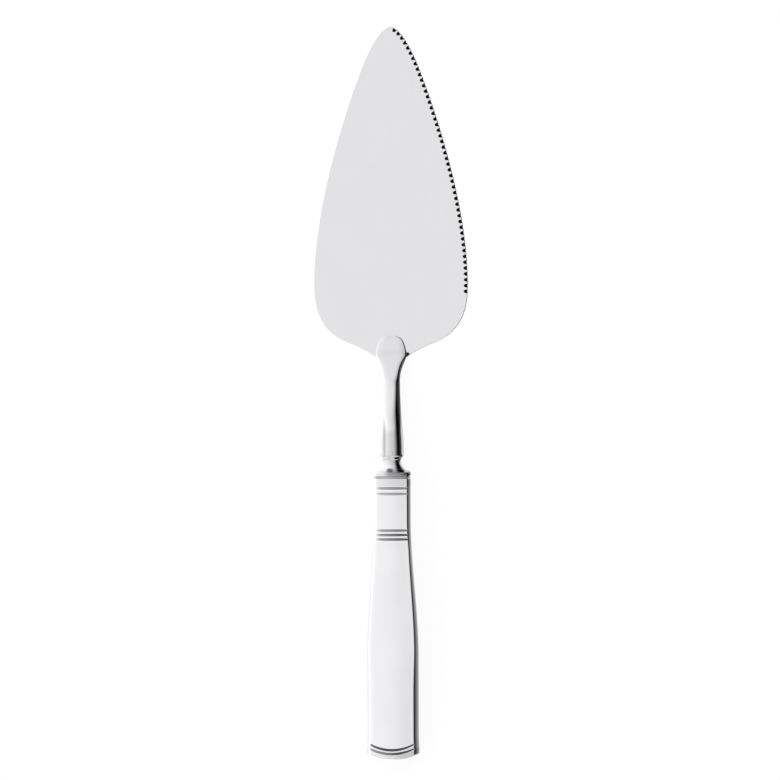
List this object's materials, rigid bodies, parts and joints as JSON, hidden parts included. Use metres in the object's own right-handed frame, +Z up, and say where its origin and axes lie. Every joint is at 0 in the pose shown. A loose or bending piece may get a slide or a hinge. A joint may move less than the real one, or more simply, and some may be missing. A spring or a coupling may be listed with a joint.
{
  "type": "cake server",
  "caption": "Cake server: broad leaf-shaped steel blade, finely serrated along one edge, cranked silver neck and a hollow banded handle with an arched butt",
  "frame": {"origin": "middle of the server's footprint, on the table that it rests on", "axes": "+Y along the server towards the blade's tip, +X across towards the serrated edge, +Z up from the table"},
  "size_m": [0.0558, 0.2652, 0.019],
  "materials": {
    "blade_steel": "stainless steel polished to a soft mirror, with very fine hairlines",
    "neck_metal": "silver-coloured cast metal, polished to a mirror",
    "handle_silver": "silver sheet polished to a mirror, with faint wiping marks",
    "tang_steel": "plain steel bar, unpolished, hidden in the handle",
    "filler_cement": "set cement, matt, hidden in the handle"
  },
  "bodies": {
    "root": {"blade": "blade_steel", "neck": "neck_metal", "tang": "tang_steel", "mouth_plate": "handle_silver", "handle_front_shell": "handle_silver", "handle_back_shell": "handle_silver", "handle_end_plate": "handle_silver", "handle_filler": "filler_cement"}
  },
  "joints": []
}
